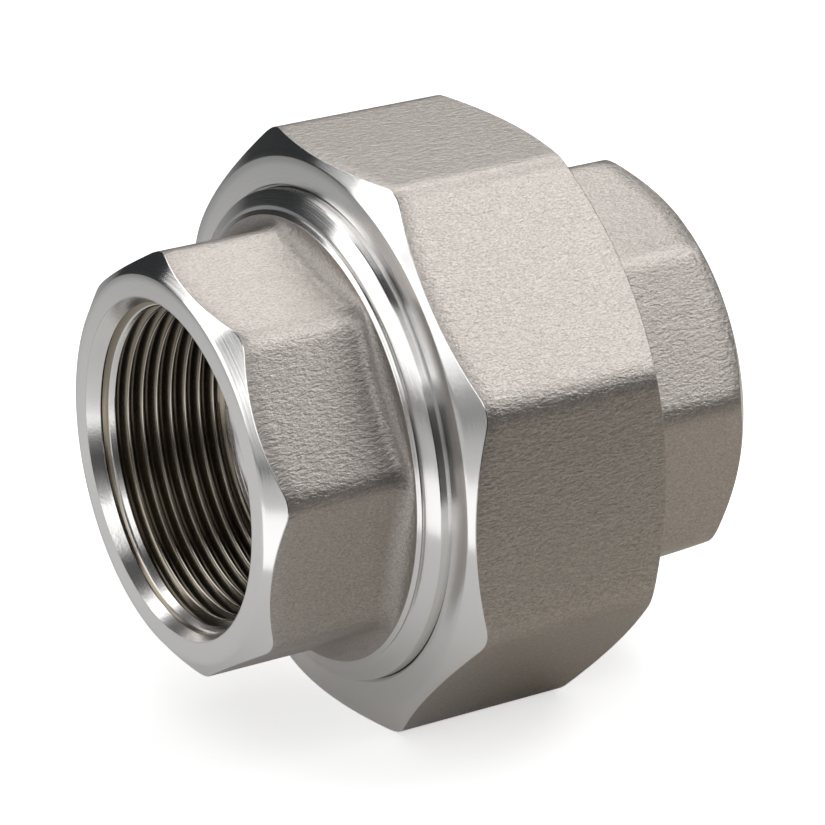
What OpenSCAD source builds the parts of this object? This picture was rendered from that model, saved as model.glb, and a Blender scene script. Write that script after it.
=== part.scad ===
// Three-piece threaded pipe union in cast stainless steel, female thread at both ends.
// The octagonal nut pulls the collar of the tail piece against the male-threaded head piece, and a
// flat gasket seals the joint between them. The bore runs along X, the tail's mouth faces -X, and the
// origin is on the bore's axis, midway between the two end faces. The nut lies on one flat, +Z up.
// Threads are plain cylinders at the radius of the inner crests.

/* [Whole union] */
// Length over both end faces
overall_len = 78.2; // [76:0.2:84]
// Distance from the tail's mouth to the nut's front face
tail_reach = 24.6; // [22:0.2:27]

/* [Nut] */
// Thickness of the nut's wall at its flats, over the relief groove
nut_wall = 2.4; // [1.8:0.1:5]
// Length of the nut
nut_len = 32.1; // [30:0.1:35]
// Radius of the nut's cast corners
nut_corner_r = 5.4; // [3:0.1:8]
// How far the nut's turned end faces stop short of its flats
nut_face_inset = 1; // [0.4:0.1:1.5]
// Angle of the nut's front chamfer, from the end face
nut_front_angle = 33.5; // [25:0.5:45]
// Angle of the nut's back chamfer, from the end face
nut_back_angle = 31; // [25:0.5:45]
// Thickness of the nut's inner lip
lip_t = 5; // [4:0.1:6]
// Bevel on the edge of the hole through the lip
lip_bevel = 0.4; // [0.2:0.1:0.6]
// Bevel at the open end of the nut's thread
nut_mouth_bevel = 1; // [0.5:0.1:1.4]
// Length of the relief groove between the lip and the nut's thread
relief_len = 2; // [1.5:0.1:3]
// Depth of the relief groove below the thread's crests
relief_depth = 1.2; // [0.8:0.1:1.4]

/* [Cast ends] */
// Thickness of the ends' wall at their flats, over the pipe thread
body_wall = 6.38; // [5.5:0.01:7]
// Radius of the ends' cast corners
body_corner_r = 3.4; // [2:0.1:6]
// How far the ends' turned faces stop short of their flats
body_face_inset = 1; // [0.5:0.1:1.5]
// Angle of the ends' chamfer, from the end face
body_chamfer_angle = 39.5; // [30:0.5:45]
// Turn of the tail's octagon from the nut's flats
tail_turn = 13.4; // [0:0.1:22]
// Turn of the head's octagon from the nut's flats
head_turn = 14.5; // [0:0.1:22]

/* [Pipe thread] */
// Radius of the pipe thread's inner crests
pipe_r = 22.42; // [21.5:0.01:22.8]
// Depth of the pipe thread from each end face
pipe_depth = 22; // [20:0.5:23]
// Width of the countersink at each end face
sink_w = 2.08; // [1.2:0.01:3]
// Length of the countersink along the bore
sink_len = 4.36; // [2:0.01:6]
// Step from the pipe thread down to the waterway
waterway_step = 1.92; // [1:0.01:4]

/* [Tail collar] */
// Length of the fillet between the tail's flats and the neck
fillet_len = 2.8; // [1:0.1:4]
// Height of the collar over the tail's flats
collar_height = 6.7; // [6.2:0.1:8]
// Length of the bead at the front of the neck
bead_len = 0.4; // [0.3:0.1:0.8]
// Rise of the bead over its length
bead_rise = 0.7; // [0.4:0.1:0.9]
// Step from the bead to the shoulder cone
bead_step = 0.5; // [0.2:0.1:0.6]
// Length of the tool groove between the bead and the shoulder cone
nick_len = 0.3; // [0.2:0.1:0.6]
// Depth of the tool groove below the bead
nick_depth = 0.4; // [0.2:0.1:0.6]
// Length of the shoulder cone
cone_len = 1.2; // [0.8:0.1:2]
// Rise of the shoulder cone over its length
cone_rise = 2.1; // [1.5:0.1:2.4]
// How far the shoulder cone stands ahead of the nut's front face
collar_proud = 1.4; // [0.8:0.1:1.8]
// Width of the flange that the lip pulls on
flange_w = 1.6; // [1.2:0.1:2]
// Thickness of the flange
flange_t = 5.5; // [4:0.1:6]

/* [Gasket] */
// Step from the pipe thread out to the gasket's inner edge
gasket_step = 1.58; // [0.5:0.01:3]
// Width of the gasket's ring
gasket_w = 8; // [6:0.1:10]
// Thickness of the gasket
gasket_t = 2; // [1.8:0.1:3]
// Depth of the groove that holds the gasket
groove_depth = 1.3; // [0.8:0.1:1.5]

/* [Head spigot] */
// Length of the male thread
spigot_len = 19; // [17:0.1:19.6]
// Bevel at both ends of the male thread
spigot_bevel = 1; // [0.5:0.1:1.5]

/* [Clearances] */
// Radial clearance of the collar in the nut's lip
lip_clearance = 0.1; // [0.05:0.01:0.1]
// Radial clearance of the flange in the nut's thread
flange_clearance = 0.3; // [0.2:0.05:0.4]
// Radial clearance of the male thread in the nut
thread_clearance = 0.08; // [0.05:0.01:0.1]
// Clearance of the gasket in its groove
gasket_clearance = 0.1; // [0.05:0.01:0.2]

/* [Hidden] */
$fn = 120;
sides = 8;
corner_steps = 5;
fillet_steps = 6;
fillet_sunk = 0.1;
cut = 1;
steel = [0.72, 0.70, 0.68];
bright_steel = [0.78, 0.78, 0.79];
seal_white = [0.93, 0.93, 0.91];

// Places along the bore
tail_mouth_x = -overall_len/2;
head_mouth_x = overall_len/2;
nut_front_x = tail_mouth_x + tail_reach;
nut_back_x = nut_front_x + nut_len;
lip_back_x = nut_front_x + lip_t;
nut_thread_x = lip_back_x + relief_len;
collar_x = nut_front_x - collar_proud;
cone_x = collar_x - cone_len;
bead_x = cone_x - nick_len;
neck_x = bead_x - bead_len;
fillet_x = neck_x - fillet_len;
tail_seat_x = lip_back_x + flange_t;
gasket_x = tail_seat_x - groove_depth;
head_seat_x = gasket_x + gasket_t;
spigot_end_x = head_seat_x + spigot_len;

// Radii round the bore
body_af = 2*(pipe_r + body_wall);
mouth_r = pipe_r + sink_w;
waterway_r = pipe_r - waterway_step;
collar_r = body_af/2 + collar_height;
cone_foot_r = collar_r - cone_rise;
bead_r = cone_foot_r - bead_step;
neck_r = bead_r - bead_rise;
fillet_r = body_af/2 - fillet_sunk;
flange_r = collar_r + flange_w;
lip_hole_r = collar_r + lip_clearance;
nut_thread_r = flange_r + flange_clearance;
relief_r = nut_thread_r + relief_depth;
nut_af = 2*(relief_r + nut_wall);
spigot_r = nut_thread_r - thread_clearance;
gasket_in_r = pipe_r + gasket_step;
gasket_out_r = gasket_in_r + gasket_w;

// One rounded corner of an octagon, as points along its arc
function corner_arc(af, corner_r, middle) =
    [for (step = [0:corner_steps])
        let (turn = middle + (step/corner_steps - 0.5)*360/sides)
        (af/2 - corner_r)/cos(180/sides)*[cos(middle), sin(middle)] + corner_r*[cos(turn), sin(turn)]];

// Octagon with rounded corners and one flat square to the X axis
module cast_octagon(af, corner_r) {
    polygon([for (side = [0:sides - 1])
        each corner_arc(af, corner_r, (side + 0.5)*360/sides)]);
}

// Turns a profile of [radius, place] points round the bore's axis
module turned(profile) {
    rotate_extrude()
        polygon(profile);
}

// Lays a solid modelled along Z down along X
module along_bore() {
    rotate([0, 90, 0])
        children();
}

// Pipe thread, countersink and waterway, cut from the mouth at z = 0 inwards
module pipe_bore(reach) {
    throat_depth = pipe_depth + waterway_step;
    turned([
        [0, -cut], [mouth_r, -cut], [mouth_r, 0], [pipe_r, sink_len], [pipe_r, pipe_depth],
        [waterway_r, throat_depth], [waterway_r, reach], [0, reach]
    ]);
}

// Octagonal end with its turned face at z = 0, running to the given length
module octagonal_end(length, turn) {
    face_r = body_af/2 - body_face_inset;
    outer_r = body_af;
    intersection() {
        rotate([0, 0, turn])
            linear_extrude(height = length)
                cast_octagon(body_af, body_corner_r);
        turned([
            [0, 0], [face_r, 0], [outer_r, (outer_r - face_r)*tan(body_chamfer_angle)],
            [outer_r, length + outer_r], [0, length + outer_r]
        ]);
    }
}

// Hollow fillet up to the neck, as points of a quarter turn
function neck_fillet() =
    [for (step = [0:fillet_steps])
        let (turn = 90*step/fillet_steps)
        [fillet_r + (neck_r - fillet_r)*(1 - cos(turn)), fillet_x + fillet_len*sin(turn)]];

// Fillet, bead, shoulder cone, collar and flange behind the tail's octagon
module tail_collar() {
    turned([
        [0, fillet_x], each neck_fillet(), [bead_r, bead_x],
        [bead_r - nick_depth, bead_x + nick_len/2], [cone_foot_r, cone_x], [collar_r, collar_x],
        [collar_r, lip_back_x], [flange_r, lip_back_x], [flange_r, tail_seat_x], [0, tail_seat_x]
    ]);
}

// Groove in the tail's seat that holds the gasket
module gasket_groove() {
    turned([
        [gasket_in_r - gasket_clearance, gasket_x], [gasket_out_r + gasket_clearance, gasket_x],
        [gasket_out_r + gasket_clearance, tail_seat_x + cut],
        [gasket_in_r - gasket_clearance, tail_seat_x + cut]
    ]);
}

module tail_piece() {
    color(steel)
        along_bore()
            difference() {
                union() {
                    translate([0, 0, tail_mouth_x])
                        octagonal_end(neck_x - tail_mouth_x + cut/2, tail_turn);
                    tail_collar();
                }
                translate([0, 0, tail_mouth_x])
                    pipe_bore(tail_seat_x - tail_mouth_x + cut);
                gasket_groove();
            }
}

module union_nut() {
    face_r = nut_af/2 - nut_face_inset;
    outer_r = nut_af;
    color(steel)
        along_bore()
            difference() {
                intersection() {
                    translate([0, 0, nut_front_x])
                        linear_extrude(height = nut_len)
                            cast_octagon(nut_af, nut_corner_r);
                    turned([
                        [0, nut_front_x], [face_r, nut_front_x],
                        [outer_r, nut_front_x + (outer_r - face_r)*tan(nut_front_angle)],
                        [outer_r, nut_back_x - (outer_r - face_r)*tan(nut_back_angle)],
                        [face_r, nut_back_x], [0, nut_back_x]
                    ]);
                }
                turned([
                    [0, nut_front_x - cut], [lip_hole_r + lip_bevel, nut_front_x - cut],
                    [lip_hole_r + lip_bevel, nut_front_x], [lip_hole_r, nut_front_x + lip_bevel],
                    [lip_hole_r, lip_back_x], [relief_r, lip_back_x],
                    [relief_r, nut_thread_x - relief_depth], [nut_thread_r, nut_thread_x],
                    [nut_thread_r, nut_back_x - nut_mouth_bevel],
                    [nut_thread_r + nut_mouth_bevel, nut_back_x],
                    [nut_thread_r + nut_mouth_bevel, nut_back_x + cut], [0, nut_back_x + cut]
                ]);
            }
}

module head_piece() {
    color(bright_steel)
        along_bore()
            difference() {
                union() {
                    translate([0, 0, head_mouth_x])
                        mirror([0, 0, 1])
                            octagonal_end(head_mouth_x - spigot_end_x + cut/2, head_turn);
                    turned([
                        [0, head_seat_x], [spigot_r - spigot_bevel, head_seat_x],
                        [spigot_r, head_seat_x + spigot_bevel], [spigot_r, spigot_end_x - spigot_bevel],
                        [spigot_r - spigot_bevel, spigot_end_x], [0, spigot_end_x]
                    ]);
                }
                translate([0, 0, head_mouth_x])
                    mirror([0, 0, 1])
                        pipe_bore(head_mouth_x - head_seat_x + cut);
            }
}

module gasket() {
    color(seal_white)
        along_bore()
            turned([
                [gasket_in_r, gasket_x], [gasket_out_r, gasket_x],
                [gasket_out_r, head_seat_x], [gasket_in_r, head_seat_x]
            ]);
}

tail_piece();
union_nut();
head_piece();
gasket();
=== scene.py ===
"""Looks of the threaded pipe union: cast octagons, turned faces and cut threads, on a pale floor."""

import math

import bmesh
import bpy
import numpy as np
from mathutils import Matrix, Vector


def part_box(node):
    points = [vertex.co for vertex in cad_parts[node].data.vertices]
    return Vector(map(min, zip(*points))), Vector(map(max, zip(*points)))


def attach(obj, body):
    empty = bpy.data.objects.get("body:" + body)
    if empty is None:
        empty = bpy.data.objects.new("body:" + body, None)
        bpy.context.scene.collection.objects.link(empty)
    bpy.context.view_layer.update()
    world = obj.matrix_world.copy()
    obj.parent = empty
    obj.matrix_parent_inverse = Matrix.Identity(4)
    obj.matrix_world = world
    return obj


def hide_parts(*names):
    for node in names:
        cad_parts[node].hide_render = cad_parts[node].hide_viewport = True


MM = 0.001
COLUMNS = 288

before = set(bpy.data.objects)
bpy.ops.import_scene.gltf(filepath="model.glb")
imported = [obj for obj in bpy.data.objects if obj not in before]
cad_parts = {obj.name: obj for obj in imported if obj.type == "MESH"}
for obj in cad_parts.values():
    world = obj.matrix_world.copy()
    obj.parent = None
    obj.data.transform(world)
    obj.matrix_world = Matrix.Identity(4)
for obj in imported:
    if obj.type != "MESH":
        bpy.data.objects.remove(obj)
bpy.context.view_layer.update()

# Places along the bore and radii round it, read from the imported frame, in millimetres
tail_low, tail_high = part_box("tail_piece")
nut_low, nut_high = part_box("union_nut")
head_low, head_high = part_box("head_piece")
gasket_low, gasket_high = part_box("gasket")
TAIL_MOUTH = tail_low.x / MM
TAIL_SEAT = tail_high.x / MM
FLANGE_R = tail_high.z / MM
NUT_FRONT = nut_low.x / MM
NUT_BACK = nut_high.x / MM
NUT_FLAT = nut_high.z / MM
HEAD_SEAT = head_low.x / MM
HEAD_MOUTH = head_high.x / MM
GASKET_X = gasket_low.x / MM
GASKET_R = gasket_high.z / MM

# Cast octagons: distance of the flats, radius of the rounded corners, turn from the nut in degrees
SIDE_ANGLE = 45
NUT_CORNER = 5.4
BODY_FLAT = 28.8
BODY_CORNER = 5.5
TAIL_TURN = 13.4
HEAD_TURN = 14.5

# Turned faces: radius of the flat part, and how far the chamfer falls back for each mm outwards
NUT_FACE_R = NUT_FLAT - 1.0
NUT_FRONT_SLOPE = 0.662
NUT_BACK_SLOPE = 0.6
TAIL_FACE_R, TAIL_SLOPE = 27.75, 0.83
HEAD_FACE_R, HEAD_SLOPE = 27.9, 0.82

# Tail's neck, from the mouth inwards: fillet, bead, tool groove, cone, collar
NECK_R = 32.2
FILLET_LEN = 2.8
FILLET_STEPS = 10
NECK_X = TAIL_MOUTH + 21.3
BEAD_X = NECK_X + 0.4
CONE_X = BEAD_X + 0.3
COLLAR_X = CONE_X + 1.2
COLLAR_R = 35.5
LIP_BACK = NUT_FRONT + 5.0
LIP_HOLE = COLLAR_R + 0.1
GROOVE_IN, GROOVE_OUT = 23.9, GASKET_R + 0.1

# Pipe thread, 11 threads per inch; the cone and the throat behind it start at depths from the mouth
PIPE_PITCH = 25.4 / 11
PIPE_CREST = 22.42
PIPE_DEPTH = 1.48
PIPE_LENGTH = 22.0
PIPE_FADE = 2.6
CONE_START, CONE_END = PIPE_LENGTH - 0.4, PIPE_LENGTH + 1.9
THROAT_START = PIPE_LENGTH + 2.1
WATERWAY = 20.5
MOUTH_R = 24.5
SINK_SLOPE = 2.08 / 4.36
TAIL_CREST_X = -33.33
HEAD_CREST_X = HEAD_MOUTH - 6.2

# Thread between the nut and the head
NUT_PITCH = 2.0
NUT_CREST = 37.4
NUT_DEPTH = 1.15
NUT_RELIEF = 1.2
THREAD_GAP = 0.15
SPIGOT_R = NUT_CREST - THREAD_GAP
SPIGOT_END = HEAD_SEAT + 19.0

# Thread's profile, in shares of the pitch and of the depth
CREST_HALF = 0.05
FLANK = 0.38
ROUND_START, ROUND_END = -0.25, 0.12
ROUND_RISE = 0.09 * 1.33
STEPS = [0.0, 0.05, 0.09, 0.13, 0.2, 0.3, 0.37, 0.41, 0.45]
PIPE_PHASES = STEPS + [0.5] + [1 - step for step in reversed(STEPS[1:])]
JOINT_PHASES = [0.0, 0.09, 0.41, 0.5, 0.59, 0.91]

# Gaps left at an edge between two surfaces, so that the smooth strip between them rounds it
BORE_EDGE = 0.12
FACE_EDGE = 0.06
CHAMFER_EDGE = 0.05
CAST_EDGE = 0.08
SHARP_ANGLE = math.radians(24)

CAST, TURNED, CUT, JOINT = range(4)


def smooth(low, high, value):
    share = min(1.0, max(0.0, (value - low) / (high - low)))
    return share * share * (3 - 2 * share)


def octagon_radius(angle, flat, corner, turn):
    """Radius of a rounded octagon in the direction of a polar angle, in degrees."""
    half = SIDE_ANGLE / 2
    off = abs((angle - turn + half) % SIDE_ANGLE - half)
    centre = (flat - corner) / math.cos(math.radians(half))
    tangent = math.degrees(math.atan2(centre * math.sin(math.radians(half)), flat))
    if off <= tangent:
        return flat / math.cos(math.radians(off))
    lean = math.radians(half - off)
    return centre * math.cos(lean) + math.sqrt(corner**2 - (centre * math.sin(lean)) ** 2)


def thread_rise(phase):
    """Share of the thread's depth at a phase of the pitch: 0 on the crest, 1 in the root."""
    away = abs(phase - round(phase))
    climb = (away - CREST_HALF) / FLANK
    if climb <= ROUND_END:
        return ROUND_RISE * smooth(ROUND_START, ROUND_END, climb)
    if climb >= 1 - ROUND_END:
        return 1 - ROUND_RISE * smooth(ROUND_START, ROUND_END, 1 - climb)
    return climb


def thread_rows(turn, start, end, pitch, first_crest, radius, phases):
    """Points of a helical thread from start to end at a share of a turn; those past an end lie on it."""
    low, high = min(start, end), max(start, end)
    first = math.floor((low - first_crest) / pitch) - 2
    last = math.ceil((high - first_crest) / pitch) + 1
    rows = []
    for count in range(first, last + 1):
        for phase in phases:
            x = first_crest + pitch * (count + phase + turn)
            x = min(high, max(low, x))
            rows.append((x, radius(x, turn)))
    rows.append((high, radius(high, turn)))
    return rows if start < end else rows[::-1]


def pipe_thread(mouth, inward, first_crest):
    """Rows of the pipe thread from its mouth to the waterway."""
    end = mouth + inward * CONE_END

    def radius(x, turn):
        depth = (x - mouth) * inward
        fade = smooth(PIPE_LENGTH, PIPE_LENGTH - PIPE_FADE, depth)
        cone = smooth(CONE_START, CONE_END, depth)
        crest = PIPE_CREST - cone * (PIPE_CREST - WATERWAY)
        phase = (x - first_crest) / PIPE_PITCH - turn
        cut = crest + PIPE_DEPTH * thread_rise(phase) * fade
        return max(cut, MOUTH_R - max(depth, 0.0) * SINK_SLOPE)

    return lambda turn: thread_rows(turn, mouth, end, PIPE_PITCH, first_crest, radius, PIPE_PHASES)


def joint_thread(start, end, shape):
    """Rows of the thread between the nut and the head; both pieces use the same helix."""

    def radius(x, turn):
        return shape(x, NUT_CREST + NUT_DEPTH * thread_rise(x / NUT_PITCH - turn))

    return lambda turn: thread_rows(turn, start, end, NUT_PITCH, 0.0, radius, JOINT_PHASES)


def fixed(points):
    """Rows that are the same all round."""
    return lambda turn: points


def backwards(rows):
    return lambda turn: rows(turn)[::-1]


def build(name, stretches):
    """Closed ring whose profile is made of stretches: (rows at a share of a turn, material)."""
    columns = []
    for i in range(COLUMNS + 1):
        points, zones = [], []
        for rows, zone in stretches:
            made = rows(i / COLUMNS)
            points += made
            zones += [zone] * len(made)
        columns.append(points)
    count = len(zones)
    vertices = []
    for i, points in enumerate(columns):
        angle = 2 * math.pi * (i % COLUMNS) / COLUMNS
        c, s = math.cos(angle), math.sin(angle)
        vertices += [(x * MM, r * c * MM, r * s * MM) for x, r in points]
    faces = []
    for i in range(COLUMNS):
        a, b = i * count, (i + 1) * count
        for k in range(count):
            n = (k + 1) % count
            faces.append((a + k, a + n, b + n, b + k))
    mesh = bpy.data.meshes.new(name)
    mesh.from_pydata(vertices, [], faces)
    mesh.polygons.foreach_set("material_index", np.array(zones * COLUMNS, np.int32))
    work = bmesh.new()
    work.from_mesh(mesh)
    bmesh.ops.remove_doubles(work, verts=work.verts, dist=2e-7)
    bmesh.ops.dissolve_degenerate(work, edges=work.edges, dist=1e-7)
    bmesh.ops.recalc_face_normals(work, faces=work.faces)
    if work.calc_volume(signed=True) < 0:
        bmesh.ops.reverse_faces(work, faces=work.faces)
    open_edges = sum(len(edge.link_faces) != 2 for edge in work.edges)
    work.to_mesh(mesh)
    work.free()
    mesh.shade_smooth()
    mesh.set_sharp_from_angle(angle=SHARP_ANGLE)
    obj = bpy.data.objects.new(name, mesh)
    bpy.context.scene.collection.objects.link(obj)
    print(name, "faces", len(mesh.polygons), "open edges", open_edges)
    return obj


def octagonal_end(mouth, inward, turn_angle, face_r, slope, stop, fillet):
    """Turned face, chamfer and cast flats of a pipe end, from the bore's edge outwards and back."""

    def radius(turn):
        return octagon_radius(360 * turn, BODY_FLAT, BODY_CORNER, turn_angle)

    def face(turn):
        return [(mouth, r) for r in np.linspace(MOUTH_R + BORE_EDGE, face_r - FACE_EDGE, 4)]

    def chamfer(turn):
        rs = np.linspace(face_r + CHAMFER_EDGE, radius(turn) - CHAMFER_EDGE, 6)
        return [(mouth + inward * (r - face_r) * slope, r) for r in rs]

    def flats(turn):
        outer = radius(turn)
        start = (outer - face_r) * slope + CAST_EDGE
        rows = [(mouth + inward * depth, outer) for depth in np.linspace(start, stop - fillet, 8)]
        steps = FILLET_STEPS if fillet else 0
        for step in range(1, steps + 1):
            share = math.sin(math.pi / 2 * step / steps)
            rise = 1 - math.sqrt(1 - share**2)
            depth = stop - fillet + fillet * share
            rows.append((mouth + inward * depth, outer + (NECK_R - outer) * rise))
        return rows

    return [(face, TURNED), (chamfer, TURNED), (flats, CAST)]


def tail():
    bead = [
        (NECK_X + 0.06, 32.26), (NECK_X + 0.17, 32.5), (NECK_X + 0.32, 32.78), (BEAD_X - 0.02, 32.88),
        (BEAD_X + 0.04, 32.86), (BEAD_X + 0.1, 32.7), (BEAD_X + 0.14, 32.52), (BEAD_X + 0.18, 32.6),
    ]
    cone = [
        (CONE_X - 0.03, 33.2), (CONE_X, 33.36), (CONE_X + 0.05, 33.5), (CONE_X + 0.4, 34.11),
        (CONE_X + 0.8, 34.81), (COLLAR_X - 0.1, 35.32), (COLLAR_X - 0.02, 35.43),
    ]
    collar = [(COLLAR_X + 0.12, COLLAR_R), (COLLAR_X + 0.5, COLLAR_R), (LIP_BACK, COLLAR_R)]
    flange = [
        (LIP_BACK, FLANGE_R - 0.25), (LIP_BACK + 0.25, FLANGE_R),
        (TAIL_SEAT - 0.3, FLANGE_R), (TAIL_SEAT, FLANGE_R - 0.3),
    ]
    seat = [
        (TAIL_SEAT, GROOVE_OUT), (GASKET_X, GROOVE_OUT), (GASKET_X, GROOVE_IN), (TAIL_SEAT, GROOVE_IN),
        (TAIL_SEAT, WATERWAY + 0.3), (TAIL_SEAT - 0.3, WATERWAY), (TAIL_MOUTH + THROAT_START, WATERWAY),
    ]
    stop = NECK_X - TAIL_MOUTH
    stretches = octagonal_end(TAIL_MOUTH, 1, TAIL_TURN, TAIL_FACE_R, TAIL_SLOPE, stop, FILLET_LEN)
    stretches.append((fixed(bead + cone + collar + flange + seat), TURNED))
    stretches.append((backwards(pipe_thread(TAIL_MOUTH, 1, TAIL_CREST_X)), CUT))
    return build("tail_body", stretches)


def nut():
    def radius(turn):
        return octagon_radius(360 * turn, NUT_FLAT, NUT_CORNER, 0)

    def front(turn):
        return [(NUT_FRONT, r) for r in np.linspace(LIP_HOLE + 0.45, NUT_FACE_R - FACE_EDGE, 4)]

    def front_chamfer(turn):
        rs = np.linspace(NUT_FACE_R + CHAMFER_EDGE, radius(turn) - CHAMFER_EDGE, 6)
        return [(NUT_FRONT + (r - NUT_FACE_R) * NUT_FRONT_SLOPE, r) for r in rs]

    def flats(turn):
        outer = radius(turn)
        start = NUT_FRONT + (outer - NUT_FACE_R) * NUT_FRONT_SLOPE + CAST_EDGE
        end = NUT_BACK - (outer - NUT_FACE_R) * NUT_BACK_SLOPE - CAST_EDGE
        return [(x, outer) for x in np.linspace(start, end, 13)]

    def back_chamfer(turn):
        rs = np.linspace(radius(turn) - CHAMFER_EDGE, NUT_FACE_R + CHAMFER_EDGE, 6)
        return [(NUT_BACK - (r - NUT_FACE_R) * NUT_BACK_SLOPE, r) for r in rs]

    relief_r = NUT_CREST + NUT_RELIEF
    thread_start, thread_end = LIP_BACK + 1.9, NUT_BACK - 0.14

    def shape(x, r):
        r = max(r, NUT_CREST + NUT_RELIEF * smooth(thread_start + 0.4, thread_start, x))
        return max(r, min(relief_r, relief_r - (thread_end - x)))

    back = [
        (NUT_BACK, NUT_FACE_R - FACE_EDGE), (NUT_BACK, 39.6),
        (NUT_BACK, relief_r + 0.15), (NUT_BACK - 0.12, relief_r),
    ]
    inner = [
        (thread_start - 0.1, relief_r), (LIP_BACK + 0.3, relief_r), (LIP_BACK, relief_r - 0.3),
        (LIP_BACK, LIP_HOLE + 0.2), (LIP_BACK - 0.2, LIP_HOLE), (NUT_FRONT + 0.45, LIP_HOLE),
        (NUT_FRONT + 0.1, LIP_HOLE + 0.3),
    ]
    thread = joint_thread(thread_start, thread_end, shape)
    return build("nut_body", [
        (front, TURNED), (front_chamfer, TURNED), (flats, CAST), (back_chamfer, TURNED),
        (fixed(back), TURNED), (backwards(thread), JOINT), (fixed(inner), TURNED),
    ])


def head():
    thread_start, thread_end = HEAD_SEAT + 1.0, SPIGOT_END - 2.2

    def shape(x, r):
        cone = min(x - thread_start, (thread_end - x) * 0.9)
        return min(r - THREAD_GAP, SPIGOT_R + max(0.0, cone))

    front = [
        (HEAD_SEAT, WATERWAY + 0.3), (HEAD_SEAT, 30.0), (HEAD_SEAT, SPIGOT_R - 0.9),
        (HEAD_SEAT + 0.1, SPIGOT_R - 0.75), (thread_start - 0.1, SPIGOT_R - 0.03),
    ]
    relief = [
        (thread_end + 0.1, SPIGOT_R - 0.02), (SPIGOT_END - 0.6, SPIGOT_R), (SPIGOT_END, SPIGOT_R - 0.6),
    ]
    throat = [(HEAD_MOUTH - THROAT_START, WATERWAY), (HEAD_SEAT + 0.3, WATERWAY)]
    stop = HEAD_MOUTH - SPIGOT_END
    octagon = octagonal_end(HEAD_MOUTH, -1, HEAD_TURN, HEAD_FACE_R, HEAD_SLOPE, stop, 0)
    stretches = [(fixed(front), TURNED), (joint_thread(thread_start, thread_end, shape), JOINT)]
    stretches.append((fixed(relief), TURNED))
    stretches += [(backwards(rows), zone) for rows, zone in reversed(octagon)]
    stretches += [(pipe_thread(HEAD_MOUTH, -1, HEAD_CREST_X), CUT), (fixed(throat), TURNED)]
    return build("head_body", stretches)


class Surface:
    """A material and the nodes that shade it; lengths in its nodes are in metres."""

    def __init__(self, name, color, roughness, metallic=0.0, glow=0.0):
        self.material = bpy.data.materials.new(name)
        self.material.use_nodes = True
        self.nodes, self.links = self.material.node_tree.nodes, self.material.node_tree.links
        self.sockets = self.nodes["Principled BSDF"].inputs
        self.put(self.sockets["Base Color"], (*color, 1))
        self.put(self.sockets["Roughness"], roughness)
        self.put(self.sockets["Metallic"], metallic)
        self.put(self.sockets["Emission Color"], (1, 1, 1, 1))
        self.put(self.sockets["Emission Strength"], glow)

    def put(self, socket, value):
        if isinstance(value, bpy.types.NodeSocket):
            self.links.new(value, socket)
        else:
            socket.default_value = value

    def node(self, kind, inputs, **settings):
        made = self.nodes.new("ShaderNode" + kind)
        for name, value in settings.items():
            setattr(made, name, value)
        for name, value in inputs.items():
            self.put(made.inputs[name], value)
        return made.outputs

    def place(self):
        return self.node("TexCoord", {})["Object"]

    def axes(self, vector):
        split = self.node("SeparateXYZ", {"Vector": vector})
        return split["X"], split["Y"], split["Z"]

    def noise(self, vector, scale, detail, roughness=0.5):
        inputs = {"Vector": vector, "Scale": scale, "Detail": detail, "Roughness": roughness}
        return self.node("TexNoise", inputs)["Fac"]

    def bump(self, height, distance, strength, below=None):
        inputs = {"Height": height, "Distance": distance, "Strength": strength}
        if below is not None:
            inputs["Normal"] = below
        return self.node("Bump", inputs)["Normal"]

    def maths(self, operation, *values):
        return self.node("Math", dict(enumerate(values)), operation=operation)["Value"]

    def grade(self, value, start, end):
        """Runs from 0 to 1 while the value goes from start to end."""
        return self.node("MapRange", {"Value": value, "From Min": start, "From Max": end})["Result"]

    def ramp(self, value, stops):
        made = self.nodes.new("ShaderNodeValToRGB")
        while len(made.color_ramp.elements) < len(stops):
            made.color_ramp.elements.new(0.5)
        for element, (position, color) in zip(made.color_ramp.elements, stops):
            element.position = position
            element.color = (*color, 1)
        self.links.new(value, made.inputs["Fac"])
        return made.outputs["Color"]


def cast_steel():
    """Blasted casting: fine grain over shallow pits, both a little longer along the bore."""
    made = Surface("cast_steel", (0.5, 0.452, 0.418), 0.41, metallic=1.0)
    along = made.node("Mapping", {"Vector": made.place(), "Scale": (0.55, 1, 1)})["Vector"]
    grain = made.noise(along, 4600, 2)
    pits = made.noise(along, 1700, 3, 0.6)
    made.put(made.sockets["Normal"], made.bump(grain, 0.00009, 0.6, made.bump(pits, 0.00024, 0.55)))
    tint = made.ramp(grain, [(0.3, (0.37, 0.34, 0.315)), (0.7, (0.56, 0.515, 0.478))])
    made.put(made.sockets["Base Color"], tint)
    return made.material


def turned_steel():
    """Lathe-turned metal: fine rings round the bore, which draw highlights out across them."""
    made = Surface("turned_steel", (0.86, 0.85, 0.84), 0.2, metallic=1.0)
    x, y, z = made.axes(made.place())
    across = made.node("CombineXYZ", {"Y": y, "Z": z})["Vector"]
    radius = made.node("VectorMath", {0: across}, operation="LENGTH")["Value"]
    rings = made.node("CombineXYZ", {"X": radius, "Y": x})["Vector"]
    made.put(made.sockets["Normal"], made.bump(made.noise(rings, 4500, 2), 0.00004, 0.35))
    tangent = made.node("Tangent", {}, direction_type="RADIAL", axis="X")["Tangent"]
    made.put(made.sockets["Tangent"], tangent)
    made.put(made.sockets["Anisotropic"], 0.9)
    made.put(made.sockets["Anisotropic Rotation"], 0.25)
    return made.material


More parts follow.
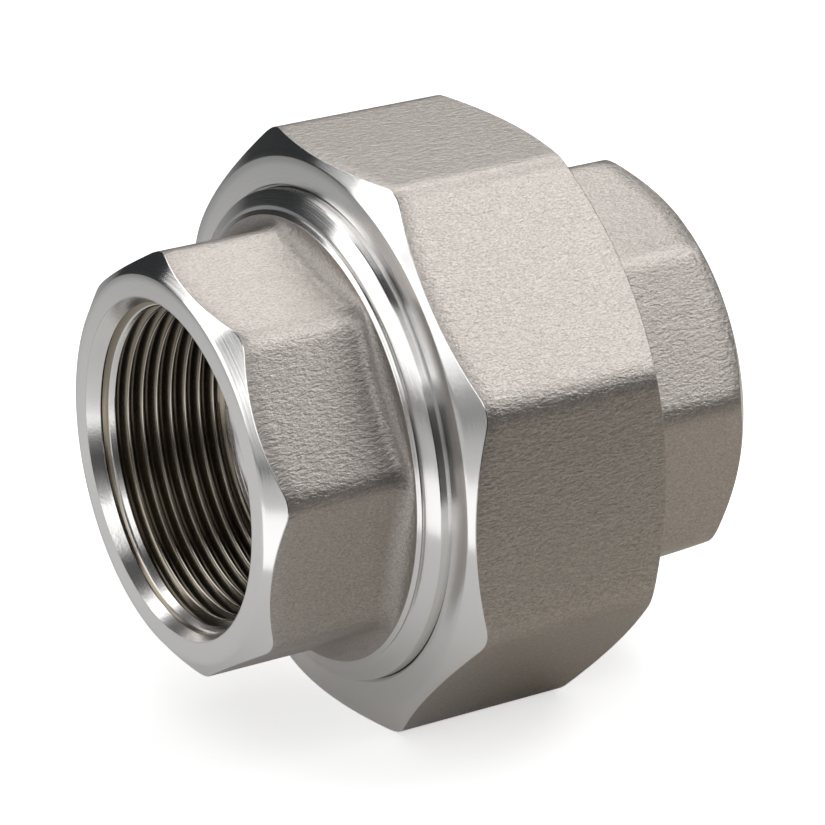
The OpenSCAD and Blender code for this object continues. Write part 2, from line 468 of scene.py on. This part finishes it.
def thread_steel():
    """Pipe thread: bright steel on the countersink and the crests, with painted shade deepening below them
    down to the roots.
    """
    made = Surface("thread_steel", (0.6, 0.58, 0.55), 0.23, metallic=1.0)
    place = made.place()
    x, y, z = made.axes(place)
    squares = made.maths("ADD", made.maths("MULTIPLY", y, y), made.maths("MULTIPLY", z, z))
    depth = made.maths("SUBTRACT", HEAD_MOUTH * MM, made.maths("ABSOLUTE", x))
    sink = made.maths("SUBTRACT", MOUTH_R * MM, made.maths("MULTIPLY", depth, SINK_SLOPE))
    crest = made.maths("MAXIMUM", sink, PIPE_CREST * MM)
    below = made.maths("SUBTRACT", made.maths("SQRT", squares), crest)
    share = made.maths("DIVIDE", below, PIPE_DEPTH * MM)
    # Painted shade: the colour goes from bright steel on the crests to brown on the flanks and near black
    # in the thread roots
    bright, flank_shade, root_shade = (0.95, 0.93, 0.91), (0.34, 0.295, 0.235), (0.13, 0.11, 0.085)
    made.put(made.sockets["Base Color"], made.ramp(share, [(0.02, bright), (0.08, flank_shade), (1.0, root_shade)]))
    made.put(made.sockets["Normal"], made.bump(made.noise(place, 2500, 2), 0.00003, 0.3))
    return made.material


def floor_shade_and_glow():
    """Floor as the metal reflects it, with painted shade darker to the left and behind and a painted glow
    on the near left side.
    """
    made = Surface("floor_shade_and_glow", (0.7, 0.7, 0.7), 0.8)
    x, y, _ = made.axes(made.place())
    leftward = made.grade(x, 0.01, -0.05)
    backward = made.grade(y, 0.03, 0.13)
    nearby = made.grade(y, 0.25, 0.1)
    # Painted shade: the floor's colour darkens to the left and behind
    painted_shade_mask = made.maths("MAXIMUM", leftward, backward)
    shade = made.ramp(painted_shade_mask, [(0.0, (0.67, 0.63, 0.57)), (1.0, (0.35, 0.35, 0.35))])
    made.put(made.sockets["Base Color"], shade)
    # Painted light: the floor glows on the near left, though it is no lamp
    painted_glow_mask = made.maths("MULTIPLY", leftward, nearby)
    made.put(made.sockets["Emission Strength"], made.maths("MULTIPLY", painted_glow_mask, 0.29))
    return made.material


joint_steel = Surface("joint_thread_steel", (0.58, 0.56, 0.53), 0.32, metallic=1.0).material
metals = [cast_steel(), turned_steel(), thread_steel(), joint_steel]

pieces = [(tail, "tail", "tail_piece"), (nut, "nut", "union_nut"), (head, "head", "head_piece")]
for make, body, node in pieces:
    piece = make()
    for metal in metals:
        piece.data.materials.append(metal)
    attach(piece, body)
    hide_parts(node)

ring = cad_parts["gasket"]
ring.data.materials.clear()
ring.data.materials.append(Surface("seal_white", (0.86, 0.86, 0.83), 0.45).material)
ring.data.shade_smooth()
ring.data.set_sharp_from_angle(angle=math.radians(30))


def plane(name, material, size, location, tilt=0):
    """Flat piece of the studio that shadow rays and diffuse rays pass through."""
    bpy.ops.mesh.primitive_plane_add(size=size, location=location, rotation=(math.radians(tilt), 0, 0))
    made = bpy.context.object
    made.name = name
    made.data.materials.append(material)
    made.visible_shadow = False
    made.visible_diffuse = False
    return made


# The floor that is seen is white; the metal reflects a darker one in the same place, with painted shade to
# the left and behind and a painted glow on the near left
FLOOR_SIZE = 6
under = (0, 0, nut_low.z)
white = Surface("floor_white", (0.9, 0.9, 0.9), 0.7, glow=0.6).material
floor = plane("floor", white, FLOOR_SIZE, under)
floor.visible_glossy = False
reflected = plane("reflected_floor", floor_shade_and_glow(), FLOOR_SIZE, under)
reflected.visible_camera = False

# A dark card stands out of view in front, as studios use to keep the edges of bright metal dark
black = Surface("card_black", (0.02, 0.02, 0.02), 0.9).material
card = plane("dark_card", black, 1, (0.25, -0.17, 0.02), 90)
card.scale = (0.8, 0.13, 1)
card.visible_camera = False

# Light
world = bpy.data.worlds.new("studio")
bpy.context.scene.world = world
world.use_nodes = True
world.node_tree.nodes["Background"].inputs["Color"].default_value = (0.9, 0.95, 1.0, 1)
world.node_tree.nodes["Background"].inputs["Strength"].default_value = 0.03


def softbox(name, direction, width, height, radiance, distance=1.0, aim=(0, 0, 0)):
    """Area light out in a direction, turned to a point; lengths in metres, power from radiance and area."""
    light = bpy.data.lights.new(name, "AREA")
    light.shape = "RECTANGLE"
    light.size, light.size_y = width, height
    light.energy = radiance * width * height * math.pi
    obj = bpy.data.objects.new(name, light)
    place = Vector(direction).normalized() * distance
    obj.location = place
    obj.visible_camera = False
    obj.rotation_mode = "QUATERNION"
    obj.rotation_quaternion = (Vector(aim) - place).to_track_quat("-Z", "Y")
    bpy.context.scene.collection.objects.link(obj)


softbox("key", (0.5, -0.26, 0.83), 0.6, 0.56, 2.95)
softbox("right_front", (0.62, -0.65, 0.43), 0.16, 0.2, 3.2, 0.49)
softbox("front", (-0.24, -0.58, 0.75), 0.6, 0.6, 1.5)
softbox("rear", (0.37, 0.51, 0.76), 0.28, 0.28, 2.4, 0.45)
softbox("left", (-0.9, 0.3, 0.28), 0.85, 0.42, 1.6)
softbox("left_high", (-0.55, 0.5, 0.67), 0.75, 0.6, 1.3)
softbox("left_front", (-0.9, -0.3, 0.24), 0.6, 0.38, 0.5)
softbox("above", (-0.08, 0.48, 0.87), 0.45, 0.36, 1.3)
softbox("front_low", (0.08, -0.8, 0.56), 0.4, 0.34, 0.5)
softbox("near_camera", (-0.5, -0.75, 0.42), 0.5, 0.4, 0.3)
softbox("left_low", (-0.14, -0.06, -0.037), 0.12, 0.12, 0.6, 0.157, (-0.14, -0.06, 1))

# Camera: angles in degrees, distance in metres, focal length in pixels of the picture's width
AZIMUTH, ELEVATION, ROLL = map(math.radians, (-30.82, 22.51, -0.3))
TARGET = Vector((0.00083, 0, 0))
DISTANCE = 0.6211
FOCAL = 4331.1
PICTURE_WIDTH = 825
SENSOR = 36
reach = math.cos(ELEVATION)
back = Vector((math.sin(AZIMUTH) * reach, -math.cos(AZIMUTH) * reach, math.sin(ELEVATION)))
level = Vector((math.cos(AZIMUTH), math.sin(AZIMUTH), 0))
upward = back.cross(level)
right = math.cos(ROLL) * level + math.sin(ROLL) * upward
top = math.cos(ROLL) * upward - math.sin(ROLL) * level
camera = bpy.data.objects.new("camera", bpy.data.cameras.new("camera"))
bpy.context.scene.collection.objects.link(camera)
camera.location = TARGET + back * DISTANCE
camera.rotation_mode = "QUATERNION"
camera.rotation_quaternion = Matrix((right, top, back)).transposed().to_quaternion()
camera.data.sensor_width = SENSOR
camera.data.lens = FOCAL * SENSOR / PICTURE_WIDTH
bpy.context.scene.camera = camera
bpy.context.scene.view_settings.view_transform = "Standard"
